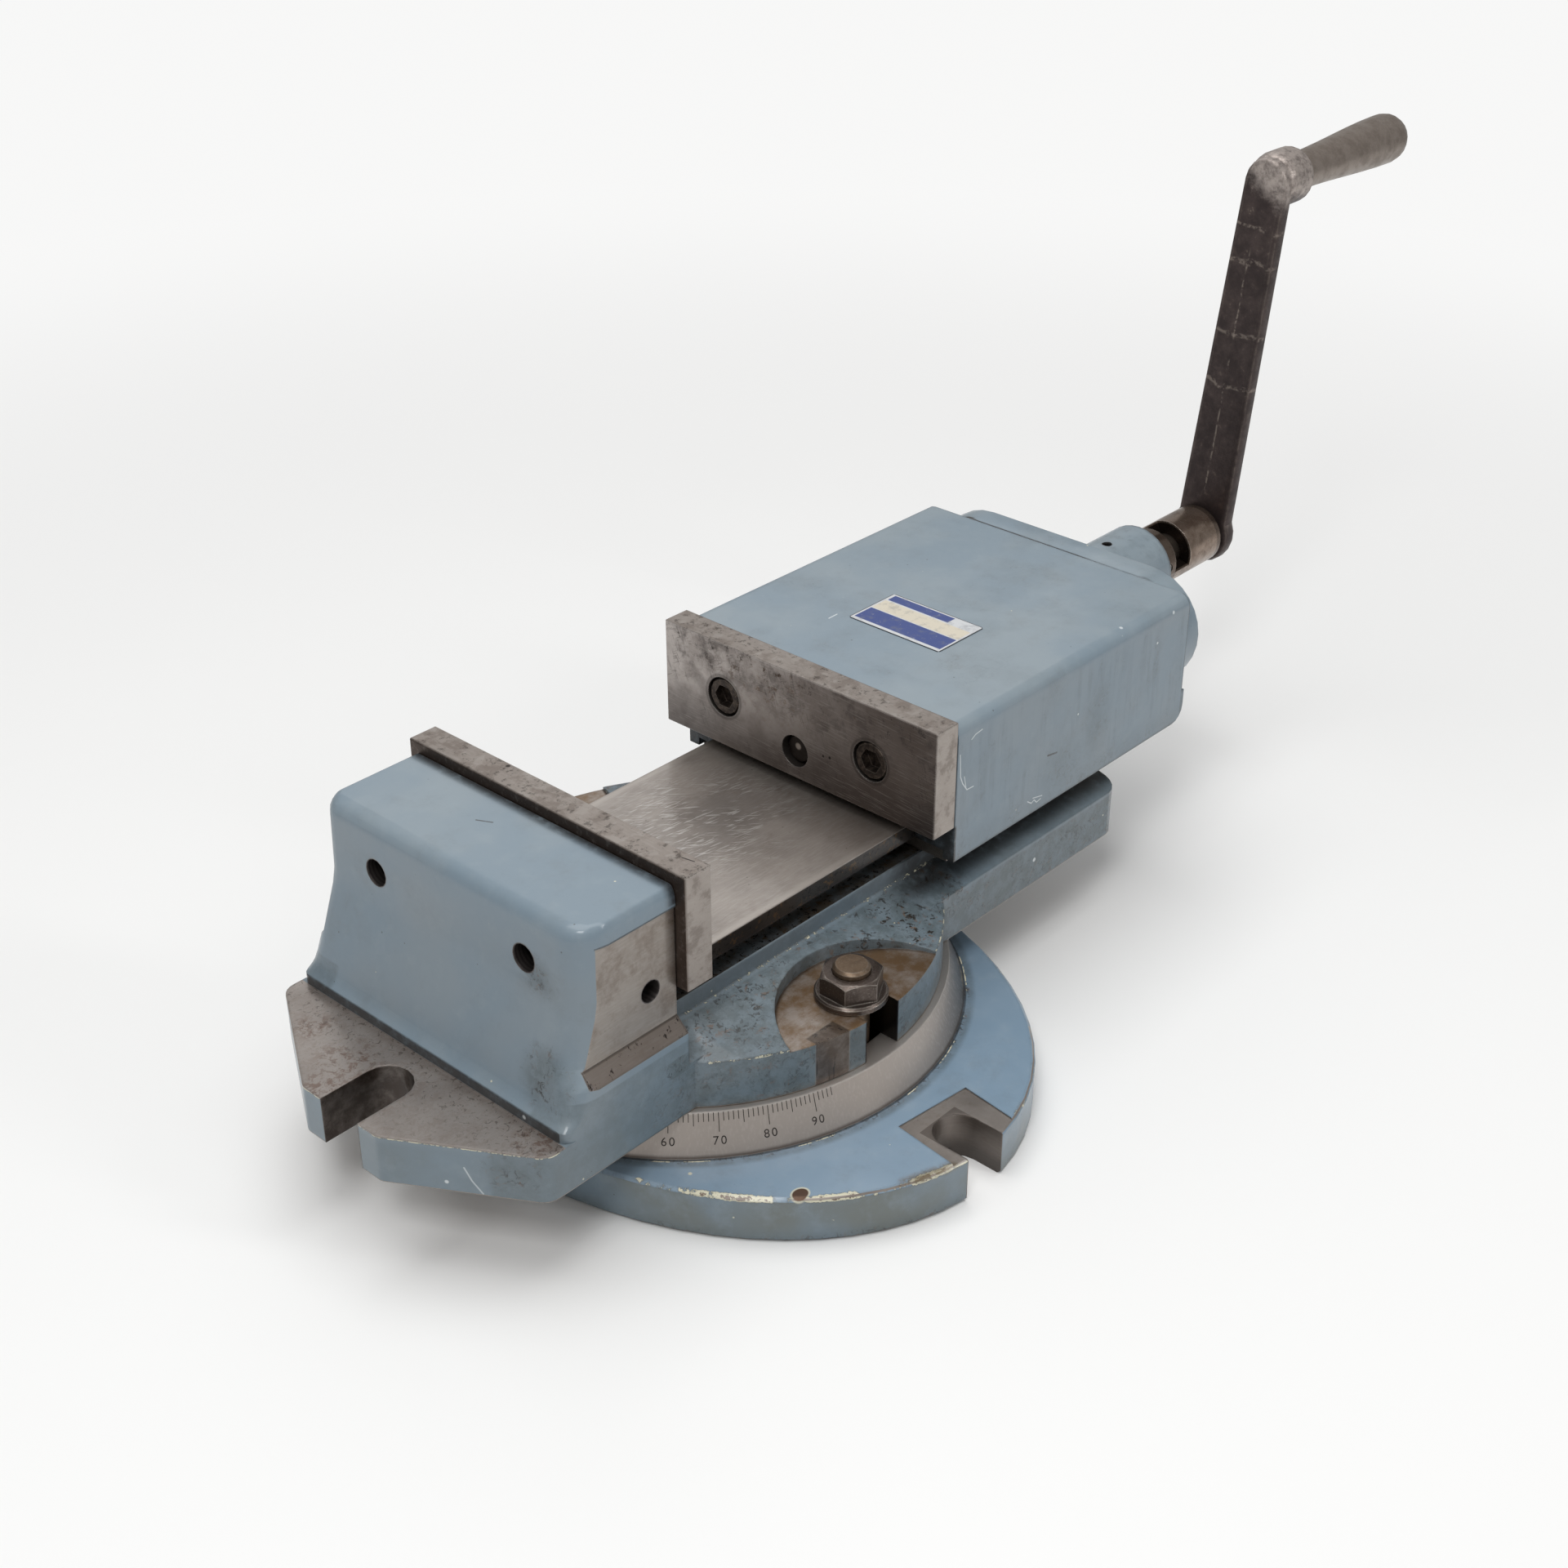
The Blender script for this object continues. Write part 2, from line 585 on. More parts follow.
def cap_screw(name, place, axis, head_radius, head_height, shank_radius, length, flats, depth):
    """A socket head cap screw: place is under the head, axis points out of the head."""
    screw = turned(name, screw_profile(head_radius, head_height, shank_radius, length), place, axis, SMALL_STEPS)
    top = Vector(place) + (AXIS_TURN[axis] @ Vector((0, 0, head_height)))
    cut(screw, socket_tool(name + "_socket", flats, depth, top, axis))
    return screw


# Pieces of the base
def swivel_base(material, pivot):
    """Oval base plate with the raised graduated ring, its T-slot, the bolt slots and the pivot bore."""
    bm = bmesh.new()
    bmesh.ops.create_cone(bm, cap_ends=True, segments=BIG_STEPS, radius1=1, radius2=1, depth=BASE_THICKNESS)
    bmesh.ops.scale(bm, vec=(BASE_RADIUS_X, BASE_RADIUS_Y, 1), verts=bm.verts)
    bmesh.ops.translate(bm, vec=(0, 0, BASE_THICKNESS / 2), verts=bm.verts)
    base = place_mesh("swivel_base", mesh_from(bm, "swivel_base"))
    bevel(base, BASE_EDGE, 1)
    ring_root = BASE_THICKNESS / 2
    join(base, turned("graduated_ring", [(0, RING_TOP_Z), (RING_TOP_RADIUS, RING_TOP_Z),
                                         (RING_FOOT_RADIUS, BASE_THICKNESS), (RING_FOOT_RADIUS, ring_root),
                                         (0, ring_root)], steps=BIG_STEPS))
    neck = T_SLOT_WIDTH / 2
    head = T_SLOT_HEAD_WIDTH / 2
    above = RING_TOP_Z + 0.004
    cut(base, turned("t_slot", [(T_SLOT_RADIUS + neck, above), (T_SLOT_RADIUS + neck, T_SLOT_LIP_Z),
                                (T_SLOT_RADIUS + head, T_SLOT_LIP_Z), (T_SLOT_RADIUS + head, T_SLOT_FLOOR_Z),
                                (T_SLOT_RADIUS - head, T_SLOT_FLOOR_Z), (T_SLOT_RADIUS - head, T_SLOT_LIP_Z),
                                (T_SLOT_RADIUS - neck, T_SLOT_LIP_Z), (T_SLOT_RADIUS - neck, above)],
                     steps=48, collection=cutters, ring=True))
    cut(base, cylinder("pivot_bore", PIVOT_RADIUS, (0, 0, PIVOT_FLOOR_Z), RING_TOP_Z, collection=cutters))
    half_entry = BOLT_ENTRY / 2
    cut(base, box("bolt_entry", (T_SLOT_RADIUS - half_entry, -half_entry, -0.005),
                  (T_SLOT_RADIUS + half_entry, half_entry, T_SLOT_FLOOR_Z + 0.003), cutters))
    for side, tag in ((-1, "near"), (1, "far")):
        outline = slot_outline(BASE_SLOT_WIDTH, -BASE_RADIUS_Y - 0.01, -BASE_SLOT_INNER_Y)
        slot = prism("base_slot_" + tag, outline, "XY", -0.005, RING_TOP_Z, cutters)
        slot.matrix_world = Matrix.Rotation(-side * pi / 2, 4, "Z") @ slot.matrix_world
        pad_low = BASE_THICKNESS - BASE_PAD_DEPTH
        ends = sorted((0, side * (BASE_RADIUS_Y + 0.02 - BASE_PAD_INNER_Y)))
        pad = box("base_pad_" + tag, (-BASE_PAD_HALF_WIDTH, ends[0], pad_low),
                  (BASE_PAD_HALF_WIDTH, ends[1], RING_TOP_Z), cutters)
        shift, turn = (NEAR_PAD_SHIFT, NEAR_PAD_TURN) if side < 0 else (0, 0)
        pad.matrix_world = (Matrix.Translation((shift, side * BASE_PAD_INNER_Y, 0)) @ Matrix.Rotation(turn, 4, "Z")
                            @ pad.matrix_world)
        key_ends = sorted((side * (BASE_SLOT_INNER_Y + 0.002), side * (BASE_SLOT_INNER_Y - KEYWAY_LENGTH)))
        keyway = box("keyway_" + tag, (-KEYWAY_WIDTH / 2, key_ends[0], -0.005),
                     (KEYWAY_WIDTH / 2, key_ends[1], KEYWAY_DEPTH), cutters)
        cut(base, slot, pad, keyway)
    finish_piece(base, material, pivot, radians(30))


def centre_pivot(material, pivot):
    """Pin in the middle of the base that the body turns on."""
    low = PIVOT_FLOOR_Z + FIT
    radius = PIVOT_RADIUS - FIT
    pin = turned("centre_pivot", [(0, PIVOT_TOP_Z), (radius - PIVOT_CHAMFER, PIVOT_TOP_Z),
                                  (radius, PIVOT_TOP_Z - PIVOT_CHAMFER), (radius, low), (0, low)])
    finish_piece(pin, material, pivot, radians(30))


# Pieces of the body
def body_rail():
    """The bed with its overhanging lips, the shoulders under it and the wide slab below."""
    half = [(BODY_HALF_WIDTH, BODY_BOTTOM_Z), (BODY_HALF_WIDTH, SLAB_EDGE_Z),
            (SHOULDER_HALF_WIDTH, SLAB_CREST_Z), (SHOULDER_HALF_WIDTH, SHOULDER_Z),
            (NECK_HALF_WIDTH, SHOULDER_Z), (NECK_HALF_WIDTH, LIP_UNDER_Z),
            (BED_HALF_WIDTH, LIP_UNDER_Z), (BED_HALF_WIDTH, BED_TOP_Z)]
    front = FIXED_JAW_BACK_X - 0.02
    rail = prism("vise_body", mirrored(half), "YZ", front, BODY_REAR_X)
    for side, tag in ((-1, "near"), (1, "far")):
        edge = side * BODY_HALF_WIDTH
        inner = side * (BODY_HALF_WIDTH - BODY_REAR_CORNER)
        middle = (BODY_REAR_X - BODY_REAR_CORNER, inner)
        shy = radians(3)
        round_part = arc(middle, BODY_REAR_CORNER, side * shy, side * (pi / 2 - shy))
        past = 0.004
        outline = round_part + [(round_part[-1][0], edge + side * past), (BODY_REAR_X + past, edge + side * past),
                                (BODY_REAR_X + past, round_part[0][1])]
        cut(rail, prism("rear_corner_" + tag, outline, "XY", BODY_BOTTOM_Z - past, SHOULDER_Z - past, cutters))
    return rail


def wing(side, tag):
    """One of the two wings that spread over the graduated ring, with a top that falls to a level rim."""
    reach = sqrt(WING_RADIUS ** 2 - (BODY_HALF_WIDTH - 0.0015) ** 2)
    inner = side * (NECK_HALF_WIDTH - 0.004)
    shoulder = side * (SHOULDER_HALF_WIDTH - 0.001)
    count = 20
    sections = []
    for i in range(count + 1):
        x = reach * (2 * i / count - 1)
        rim = side * sqrt(WING_RADIUS ** 2 - x ** 2)
        sections.append([(x, inner, BODY_BOTTOM_Z), (x, rim, BODY_BOTTOM_Z), (x, rim, WING_RIM_Z),
                         (x, shoulder, SLAB_CREST_Z), (x, inner, SLAB_CREST_Z)])
    return loft("wing_" + tag, sections)


def lug_plate():
    """The slotted lug in front of the fixed jaw."""
    back = FIXED_JAW_BACK_X - 0.01
    tip = (LUG_TIP_X, LUG_TIP_HALF_WIDTH)
    shoulder = (LUG_SHOULDER_X, BODY_HALF_WIDTH)
    outline = [(back, BODY_HALF_WIDTH)]
    outline += rounded_corner(outline[0], shoulder, tip, LUG_SHOULDER_CORNER)
    outline += rounded_corner(shoulder, tip, (LUG_TIP_X, -LUG_TIP_HALF_WIDTH), LUG_TIP_CORNER)
    outline += [(x, -y) for x, y in reversed(outline)]
    return prism("lug_plate", outline, "XY", BODY_BOTTOM_Z, LUG_Z)


def at_level(pairs, z):
    """Value at a height, on straight lines between the pairs and level beyond their ends."""
    if z <= pairs[0][0]:
        return pairs[0][1]
    for (low, first), (high, last) in zip(pairs, pairs[1:]):
        if z <= high:
            return first + (last - first) * (z - low) / (high - low)
    return pairs[-1][1]


def jaw_section(z, level, front_inset=0.0, side_inset=0.0):
    """Level section of the fixed jaw: square at the back, with its own rounding at each front corner."""
    front = at_level(FRONT_X, level) + front_inset
    near_half = BODY_HALF_WIDTH - at_level(NEAR_SIDE_INSET, level) - side_inset
    far_half = BODY_HALF_WIDTH - at_level(FAR_SIDE_INSET, level) - side_inset
    tighter = 0.8 * front_inset
    near_corner = at_level(NEAR_CORNER, level) - tighter
    far_corner = at_level(FAR_CORNER, level) - tighter
    near = arc((front + near_corner, -near_half + near_corner), near_corner, -pi / 2, -pi)
    far = arc((front + far_corner, far_half - far_corner), far_corner, pi, pi / 2)
    return [(x, y, z) for x, y in [(FIXED_JAW_BACK_X, -near_half)] + near + far + [(FIXED_JAW_BACK_X, far_half)]]


def fixed_jaw():
    """The fixed jaw: a front that sweeps back as it rises, an uneven cast outline and a rounded top."""
    sections = [jaw_section(BODY_BOTTOM_Z + 0.001, FRONT_X[0][0])]
    sections += [jaw_section(z, z) for z, _ in FRONT_X]
    top_start = FRONT_X[-1][0]
    edge_steps = 4
    for i in range(1, edge_steps + 1):
        angle = pi / 2 * i / edge_steps
        share = 1 - cos(angle)
        sections.append(jaw_section(top_start + (FIXED_JAW_TOP_Z - top_start) * sin(angle), top_start,
                                    FIXED_JAW_TOP_EDGE * share, FIXED_JAW_SIDE_EDGE * share))
    return loft("fixed_jaw", sections)


def side_face(side, tag):
    """Cutter for the machined face on a side of the fixed jaw, with the bevel that leads into it."""
    past = 0.010
    outline = [(SIDE_FACE_Y, SIDE_FACE_HIGH_Z), (SIDE_FACE_Y, SIDE_FACE_LOW_Z),
               (SIDE_FACE_Y + past, SIDE_FACE_LOW_Z - past), (SIDE_FACE_Y + past, SIDE_FACE_HIGH_Z)]
    if side < 0:
        outline = [(-y, z) for y, z in reversed(outline)]
    return prism("side_face_" + tag, outline, "YZ", FRONT_X[-1][1] - past, FIXED_JAW_BACK_X + past, cutters)


def vise_body(material, pivot):
    body = body_rail()
    join(body, wing(-1, "near"), wing(1, "far"), lug_plate(), fixed_jaw())
    far_x = LUG_TIP_X - 0.02
    cut(body, box("lug_face", (far_x, -BODY_HALF_WIDTH - 0.01, LUG_Z),
                  (LUG_STEP_X, BODY_HALF_WIDTH + 0.01, LUG_Z + 0.02), cutters))
    cut(body, prism("lug_slot", slot_outline(LUG_SLOT_WIDTH, far_x, LUG_SLOT_INNER_X), "XY",
                    BODY_BOTTOM_Z - 0.005, LUG_Z + 0.02, cutters))
    for side, tag in ((-1, "near"), (1, "far")):
        pad_low = (0, side * WING_PAD_CENTRE_Y, WING_PAD_Z)
        cut(body, cylinder("collar_seat_" + tag, WING_PAD_RADIUS, pad_low, 0.0118, steps=48, collection=cutters))
        inner = -T_SLOT_RADIUS + WING_SLOT_WIDTH / 2
        slot = prism("wing_slot_" + tag, slot_outline(WING_SLOT_WIDTH, -WING_RADIUS - 0.02, inner), "XY",
                     BODY_BOTTOM_Z - 0.005, SLAB_CREST_Z + 0.01, cutters)
        slot.matrix_world = Matrix.Rotation(-side * pi / 2, 4, "Z") @ slot.matrix_world
        cut(body, slot)
        cut(body, side_face(side, tag))
        hole_start = (SIDE_HOLE_X, side * (SIDE_FACE_Y - SIDE_HOLE_DEPTH), SIDE_HOLE_Z)
        cut(body, cylinder("side_hole_" + tag, SIDE_HOLE_RADIUS, hole_start, SIDE_HOLE_DEPTH + 0.01,
                           "Y" if side > 0 else "-Y", SMALL_STEPS, cutters))
        cut(body, cylinder("plate_screw_hole_" + tag, PLATE_SCREW_SHANK_RADIUS + THREAD_FIT,
                           (FRONT_X[0][1] - 0.01, side * PLATE_SCREW_Y, PLATE_SCREW_Z),
                           FIXED_JAW_BACK_X - FRONT_X[0][1] + 0.02, "X", SMALL_STEPS, cutters))
        cut(body, cylinder("nut_bolt_hole_" + tag, NUT_BOLT_RADIUS + THREAD_FIT,
                           (NUT_MIDDLE_X, side * NUT_BOLT_Y, NUT_FLANGE_TOP_Z - NUT_BOLT_LENGTH - 0.002),
                           0.03, "Z", SMALL_STEPS, cutters))
    cut(body, cylinder("pivot_socket", PIVOT_RADIUS, (0, 0, BODY_BOTTOM_Z - 0.005),
                       PIVOT_TOP_Z + 0.002 - BODY_BOTTOM_Z + 0.005, collection=cutters))
    above = BED_TOP_Z + 0.005
    half_seat = NUT_FLANGE_HALF_WIDTH + FIT
    cut(body, box("nut_seat", (NUT_FRONT_X - FIT, -half_seat, NUT_SEAT_Z), (NUT_REAR_X + FIT, half_seat, above),
                  cutters))
    half_key = NUT_KEY_LENGTH / 2 + FIT
    half_width = NUT_KEY_HALF_WIDTH + FIT
    cut(body, box("nut_keyway", (NUT_MIDDLE_X - half_key, -half_width, BED_TOP_Z - NUT_KEY_DEPTH - FIT),
                  (NUT_MIDDLE_X + half_key, half_width, above), cutters))
    pocket_rear = BODY_REAR_X - POCKET_WALL
    rib_middle = (POCKET_FRONT_X + pocket_rear) / 2
    for tag, low_x, high_x in (("front", POCKET_FRONT_X, rib_middle - POCKET_RIB / 2),
                               ("rear", rib_middle + POCKET_RIB / 2, pocket_rear)):
        for side in (-1, 1):
            ends = sorted((side * POCKET_RIB / 2, side * POCKET_HALF_WIDTH))
            pocket = box(f"pocket_{tag}_{side}", (low_x, ends[0], BODY_BOTTOM_Z - 0.01),
                         (high_x, ends[1], POCKET_ROOF_Z), cutters)
            bevel(pocket, POCKET_CORNER, 1)
            cut(body, pocket)
    finish_piece(body, material, pivot, radians(30))


def jaw_plate(name, back_x, facing, material, pivot, centre_hole=False):
    """Hardened jaw plate with two counterbored screw holes; facing is +1 or -1 along X."""
    ends = sorted((back_x, back_x + facing * PLATE_THICKNESS))
    half = PLATE_WIDTH / 2
    plate = box(name, (ends[0], -half, PLATE_BOTTOM_Z), (ends[1], half, PLATE_BOTTOM_Z + PLATE_HEIGHT))
    bevel(plate, PLATE_EDGE, 1)
    face_x = back_x + facing * PLATE_THICKNESS
    axis = "X" if facing > 0 else "-X"
    seat_depth = PLATE_HEAD_RECESS + PLATE_SCREW_HEAD_HEIGHT + FIT
    for side, tag in ((-1, "near"), (1, "far")):
        seat = (face_x - facing * seat_depth, side * PLATE_SCREW_Y, PLATE_SCREW_Z)
        cut(plate, cylinder(name + "_seat_" + tag, PLATE_SCREW_HEAD_RADIUS + 2 * FIT, seat, seat_depth + 0.003,
                            axis, 24, cutters))
        hole = (back_x - facing * 0.003, side * PLATE_SCREW_Y, PLATE_SCREW_Z)
        cut(plate, cylinder(name + "_hole_" + tag, PLATE_SCREW_SHANK_RADIUS + FIT, hole, PLATE_THICKNESS,
                            axis, SMALL_STEPS, cutters))
    if centre_hole:
        cut(plate, cylinder(name + "_centre_hole", CENTRE_HOLE_RADIUS, (back_x - facing * 0.003, 0, SCREW_Z),
                            PLATE_THICKNESS + 0.006, axis, 20, cutters))
    finish_piece(plate, material, pivot)


def plate_screws(prefix, face_x, facing, length, material, pivot):
    """The two screws of a jaw plate, their heads sunk just below its face."""
    axis = "X" if facing > 0 else "-X"
    under_head = face_x - facing * (PLATE_HEAD_RECESS + PLATE_SCREW_HEAD_HEIGHT)
    for number, side in ((1, -1), (2, 1)):
        screw = cap_screw(f"{prefix}_{number}", (under_head, side * PLATE_SCREW_Y, PLATE_SCREW_Z), axis,
                          PLATE_SCREW_HEAD_RADIUS, PLATE_SCREW_HEAD_HEIGHT, PLATE_SCREW_SHANK_RADIUS,
                          length, PLATE_SOCKET_FLATS, PLATE_SOCKET_DEPTH)
        finish_piece(screw, material, pivot, radians(30))


def clamp_bolts(bolt_material, nut_material, pivot):
    """T-bolts in the annular T-slot with their collar nuts on the wings."""
    head_top = T_SLOT_LIP_Z - FIT
    chamfer = 0.0012
    for number, side in ((1, -1), (2, 1)):
        y = side * T_SLOT_RADIUS
        half = T_HEAD_WIDTH / 2
        bolt = turned(f"clamp_bolt_{number}", [(0, STUD_TOP_Z), (CLAMP_RADIUS - chamfer, STUD_TOP_Z),
                                               (CLAMP_RADIUS, STUD_TOP_Z - chamfer),
                                               (CLAMP_RADIUS, head_top - 0.004), (0, head_top - 0.004)],
                      (0, y, 0), "Z", 18)
        join(bolt, box(f"t_head_{number}", (-half, y - half, head_top - T_HEAD_HEIGHT),
                       (half, y + half, head_top)))
        finish_piece(bolt, bolt_material, pivot, radians(30))
        seat = WING_PAD_Z + FIT
        nut_top = seat + CLAMP_NUT_HEIGHT
        hexagon_radius = CLAMP_NUT_FLATS / sqrt(3)
        nut = cylinder(f"clamp_nut_{number}", hexagon_radius, (0, y, seat + CLAMP_COLLAR_HEIGHT / 2),
                       nut_top - seat - CLAMP_COLLAR_HEIGHT / 2, "Z", 6)
        trimmed = [(0, nut_top + 0.001), (CLAMP_NUT_FLATS / 2 - 0.0022, nut_top + 0.001),
                   (hexagon_radius + 0.0006, nut_top - 0.0014), (hexagon_radius + 0.0006, seat), (0, seat)]
        combine(nut, turned(f"nut_chamfer_{number}", trimmed, (0, y, 0), "Z", 18, cutters), "INTERSECT")
        collar = [(0, seat + CLAMP_COLLAR_HEIGHT), (CLAMP_COLLAR_RADIUS - 0.0008, seat + CLAMP_COLLAR_HEIGHT),
                  (CLAMP_COLLAR_RADIUS, seat + CLAMP_COLLAR_HEIGHT - 0.0008), (CLAMP_COLLAR_RADIUS, seat), (0, seat)]
        join(nut, turned(f"nut_collar_{number}", collar, (0, y, 0), "Z", 24))
        cut(nut, cylinder(f"nut_bore_{number}", CLAMP_RADIUS + THREAD_FIT, (0, y, seat - 0.003), 0.03, "Z", 18,
                          cutters))
        finish_piece(nut, nut_material, pivot, radians(25))


def screw_nut(material, bolt_material, pivot):
    """Nut block of the lead screw, keyed and bolted to the bed."""
    hub = arc((0, SCREW_Z), NUT_HUB_RADIUS, 0, pi / 2, 8)
    half = [(NUT_FLANGE_HALF_WIDTH, NUT_BOTTOM_Z), (NUT_FLANGE_HALF_WIDTH, NUT_FLANGE_TOP_Z),
            (NUT_HUB_RADIUS, NUT_FLANGE_TOP_Z)] + hub
    nut = prism("screw_nut", mirrored(half), "YZ", NUT_FRONT_X, NUT_REAR_X)
    half_key = NUT_KEY_LENGTH / 2
    join(nut, box("nut_key", (NUT_MIDDLE_X - half_key, -NUT_KEY_HALF_WIDTH, BED_TOP_Z - NUT_KEY_DEPTH),
                  (NUT_MIDDLE_X + half_key, NUT_KEY_HALF_WIDTH, NUT_BOTTOM_Z + 0.002)))
    cut(nut, cylinder("nut_thread", THREAD_RADIUS + THREAD_FIT, (NUT_FRONT_X - 0.005, 0, SCREW_Z),
                      NUT_LENGTH + 0.01, "X", ROUND_STEPS, cutters))
    for number, side in ((1, -1), (2, 1)):
        place = (NUT_MIDDLE_X, side * NUT_BOLT_Y, NUT_FLANGE_TOP_Z + FIT)
        cut(nut, cylinder(f"nut_block_hole_{number}", NUT_BOLT_RADIUS + FIT,
                          (NUT_MIDDLE_X, side * NUT_BOLT_Y, NUT_BOTTOM_Z - 0.003), 0.02, "Z", SMALL_STEPS, cutters))
        bolt = cap_screw(f"screw_nut_bolt_{number}", place, "Z", NUT_BOLT_HEAD_RADIUS, NUT_BOLT_HEAD_HEIGHT,
                         NUT_BOLT_RADIUS, NUT_BOLT_LENGTH, NUT_BOLT_SOCKET_FLATS, NUT_BOLT_SOCKET_DEPTH)
        finish_piece(bolt, bolt_material, pivot, radians(30))
    finish_piece(nut, material, pivot, radians(30))


# Pieces of the moving jaw
def moving_jaw(material, pivot):
    """Long box that straddles the bed: two slideways, hanging skirts and a closed front wall."""
    outer = BODY_HALF_WIDTH
    guide = BED_HALF_WIDTH + SLIDE_FIT
    ledge = SKIRT_INNER_Y
    top_arc = arc((outer - MOVING_JAW_EDGE, MOVING_JAW_TOP_Z - MOVING_JAW_EDGE), MOVING_JAW_EDGE, 0, pi / 2)
    right = [(CAVITY_HALF_WIDTH - CAVITY_CORNER, CAVITY_TOP_Z), (CAVITY_HALF_WIDTH, CAVITY_TOP_Z - CAVITY_CORNER),
             (CAVITY_HALF_WIDTH, SLIDE_Z + SLIDEWAY_HEIGHT),
             (SLIDEWAY_HALF_WIDTH, SLIDE_Z + SLIDEWAY_HEIGHT), (SLIDEWAY_HALF_WIDTH, SLIDE_Z), (guide, SLIDE_Z),
             (guide, KEEPER_SEAT_Z), (ledge, KEEPER_SEAT_Z), (ledge, SKIRT_BOTTOM_Z), (outer, SKIRT_BOTTOM_Z)]
    outline = right + top_arc
    outline = outline + [(-y, z) for y, z in reversed(outline)]
    jaw = prism("moving_jaw", outline, "YZ", MOVING_JAW_FRONT_X, MOVING_JAW_REAR_X)
    join(jaw, box("front_wall", (MOVING_JAW_FRONT_X, -CAVITY_HALF_WIDTH - 0.004, SLIDE_Z),
                  (CAVITY_FRONT_X, CAVITY_HALF_WIDTH + 0.004, CAVITY_TOP_Z + 0.004)))
    for side, tag in ((-1, "near"), (1, "far")):
        sides = sorted((side * ledge, side * outer))
        join(jaw, box("heel_" + tag, (MOVING_JAW_REAR_X - HEEL_REACH, sides[0], SKIRT_BOTTOM_Z),
                      (MOVING_JAW_REAR_X + HEEL_REACH, sides[1], HEEL_TOP_Z)))
        y = side * PLATE_SCREW_Y
        join(jaw, cylinder("plate_boss_" + tag, WALL_BOSS_RADIUS, (MOVING_JAW_FRONT_X + 0.001, y, PLATE_SCREW_Z),
                           PLATE_BOSS_REACH - 0.001, "X", SMALL_STEPS))
        cut(jaw, cylinder("plate_thread_" + tag, PLATE_SCREW_SHANK_RADIUS + THREAD_FIT,
                          (MOVING_JAW_FRONT_X - 0.005, y, PLATE_SCREW_Z), MOVING_PLATE_SCREW_LENGTH, "X",
                          SMALL_STEPS, cutters))
        for level, sign in (("low", -1), ("high", 1)):
            boss_y = side * HOUSING_SCREW_Y
            z = FLANGE_CENTRE_Z + sign * HOUSING_SCREW_RISE
            start = MOVING_JAW_REAR_X - HOUSING_SCREW_LENGTH - 0.006
            join(jaw, cylinder(f"rear_boss_{tag}_{level}", WALL_BOSS_RADIUS, (start, boss_y, z),
                               MOVING_JAW_REAR_X - start - 0.0005, "X", SMALL_STEPS))
            cut(jaw, cylinder(f"rear_thread_{tag}_{level}", HOUSING_SCREW_RADIUS + THREAD_FIT,
                              (start + 0.004, boss_y, z), MOVING_JAW_REAR_X - start, "X", SMALL_STEPS, cutters))
        for number, x in enumerate(keeper_screw_places(), 1):
            cut(jaw, cylinder(f"keeper_thread_{tag}_{number}", KEEPER_SCREW_RADIUS + THREAD_FIT,
                              (x, side * KEEPER_SCREW_Y, KEEPER_SEAT_Z - 0.003),
                              KEEPER_SCREW_LENGTH, "Z", 12, cutters))
        past = 0.004
        heel_x = MOVING_JAW_REAR_X + HEEL_REACH
        corner_x = heel_x - REAR_SKIRT_CORNER
        corner_z = SKIRT_BOTTOM_Z + REAR_SKIRT_CORNER
        outline = arc((corner_x, corner_z), REAR_SKIRT_CORNER, -pi / 2, 0)
        outline += [(heel_x + past, corner_z), (heel_x + past, SKIRT_BOTTOM_Z - past), (corner_x, SKIRT_BOTTOM_Z - past)]
        ends = sorted((side * (ledge - 0.002), side * (outer + past)))
        cut(jaw, prism("rear_skirt_corner_" + tag, outline, "XZ", ends[0], ends[1], cutters))
    cut(jaw, cylinder("front_journal_hole", FRONT_JOURNAL_RADIUS + FIT, (MOVING_JAW_FRONT_X - 0.005, 0, SCREW_Z),
                      FRONT_WALL + 0.01, "X", 24, cutters))
    finish_piece(jaw, material, pivot, radians(30))


def keeper_screw_places():
    start = MOVING_JAW_FRONT_X + KEEPER_FRONT_SETBACK + KEEPER_SCREW_END
    end = MOVING_JAW_FRONT_X + KEEPER_FRONT_SETBACK + KEEPER_LENGTH - KEEPER_SCREW_END
    return [start + (end - start) * i / (KEEPER_SCREW_COUNT - 1) for i in range(KEEPER_SCREW_COUNT)]


